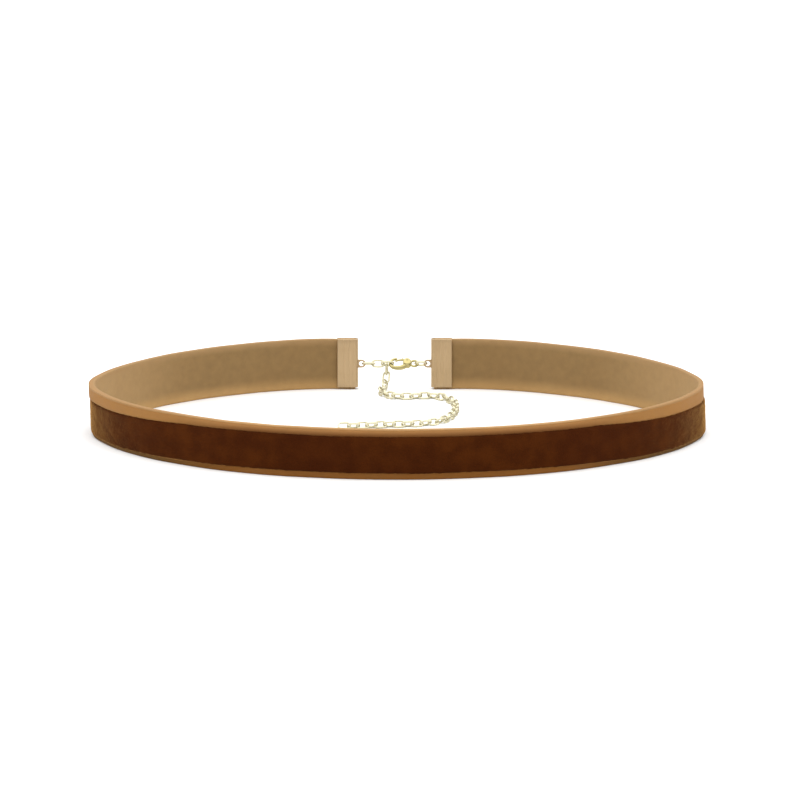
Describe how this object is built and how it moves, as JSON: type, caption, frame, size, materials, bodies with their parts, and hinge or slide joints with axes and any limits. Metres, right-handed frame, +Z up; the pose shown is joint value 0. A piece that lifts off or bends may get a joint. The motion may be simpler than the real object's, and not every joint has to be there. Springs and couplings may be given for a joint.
{
  "type": "choker necklace",
  "caption": "Velvet ribbon choker closed by a small lobster clasp, with the loose end of its extender chain lying inside the loop.",
  "frame": {"origin": "middle of the necklace's outline seen from above, on the surface that the ribbon's lower edge stands on", "axes": "+X from the wearer's right to left across the front as seen from the front, +Y from the front to the closure, +Z up"},
  "size_m": [0.1194, 0.0917, 0.01],
  "materials": {
    "velvet": "dark brown velvet pile on a tan woven ground",
    "ribbon_end_metal": "satin gold tone",
    "chain_metal": "bright pale gold tone",
    "clasp_metal": "bright pale gold tone"
  },
  "bodies": {
    "choker": {"velvet_ribbon": "velvet", "left_ribbon_end": "ribbon_end_metal", "right_ribbon_end": "ribbon_end_metal", "chain_link_01": "chain_metal", "chain_link_02": "chain_metal", "chain_link_03": "chain_metal", "chain_link_04": "chain_metal", "chain_link_05": "chain_metal", "chain_link_06": "chain_metal", "chain_link_07": "chain_metal", "chain_link_08": "chain_metal", "chain_link_09": "chain_metal", "chain_link_10": "chain_metal", "chain_link_11": "chain_metal", "chain_link_12": "chain_metal", "chain_link_13": "chain_metal", "chain_link_14": "chain_metal", "chain_link_15": "chain_metal", "chain_link_16": "chain_metal", "chain_link_17": "chain_metal", "chain_link_18": "chain_metal", "chain_link_19": "chain_metal", "chain_link_20": "chain_metal", "chain_link_21": "chain_metal", "chain_link_22": "chain_metal", "chain_link_23": "chain_metal", "chain_link_24": "chain_metal", "chain_link_25": "chain_metal", "chain_link_26": "chain_metal", "chain_link_27": "chain_metal", "chain_link_28": "chain_metal", "chain_link_29": "chain_metal", "chain_link_30": "chain_metal", "chain_link_31": "chain_metal", "chain_link_32": "chain_metal", "chain_link_33": "chain_metal", "chain_link_34": "chain_metal", "chain_link_35": "chain_metal", "chain_link_36": "chain_metal", "chain_link_37": "chain_metal", "chain_link_38": "chain_metal", "chain_link_39": "chain_metal", "chain_link_40": "chain_metal", "chain_link_41": "chain_metal", "chain_link_42": "chain_metal", "clasp_body": "clasp_metal", "clasp_pin": "clasp_metal", "jump_ring": "chain_metal"},
    "clasp_lever": {"clasp_lever": "clasp_metal"}
  },
  "joints": [
    {"name": "lever_hinge", "type": "hinge", "parent": "choker", "child": "clasp_lever", "pos_m": [0.00187, 0.04481, 0.00526], "axis": [0, -0.6428, 0.766], "range_deg": [0, 25], "stiffness_Nm_per_rad": 0.0006, "springref_deg": -17.19}
  ]
}
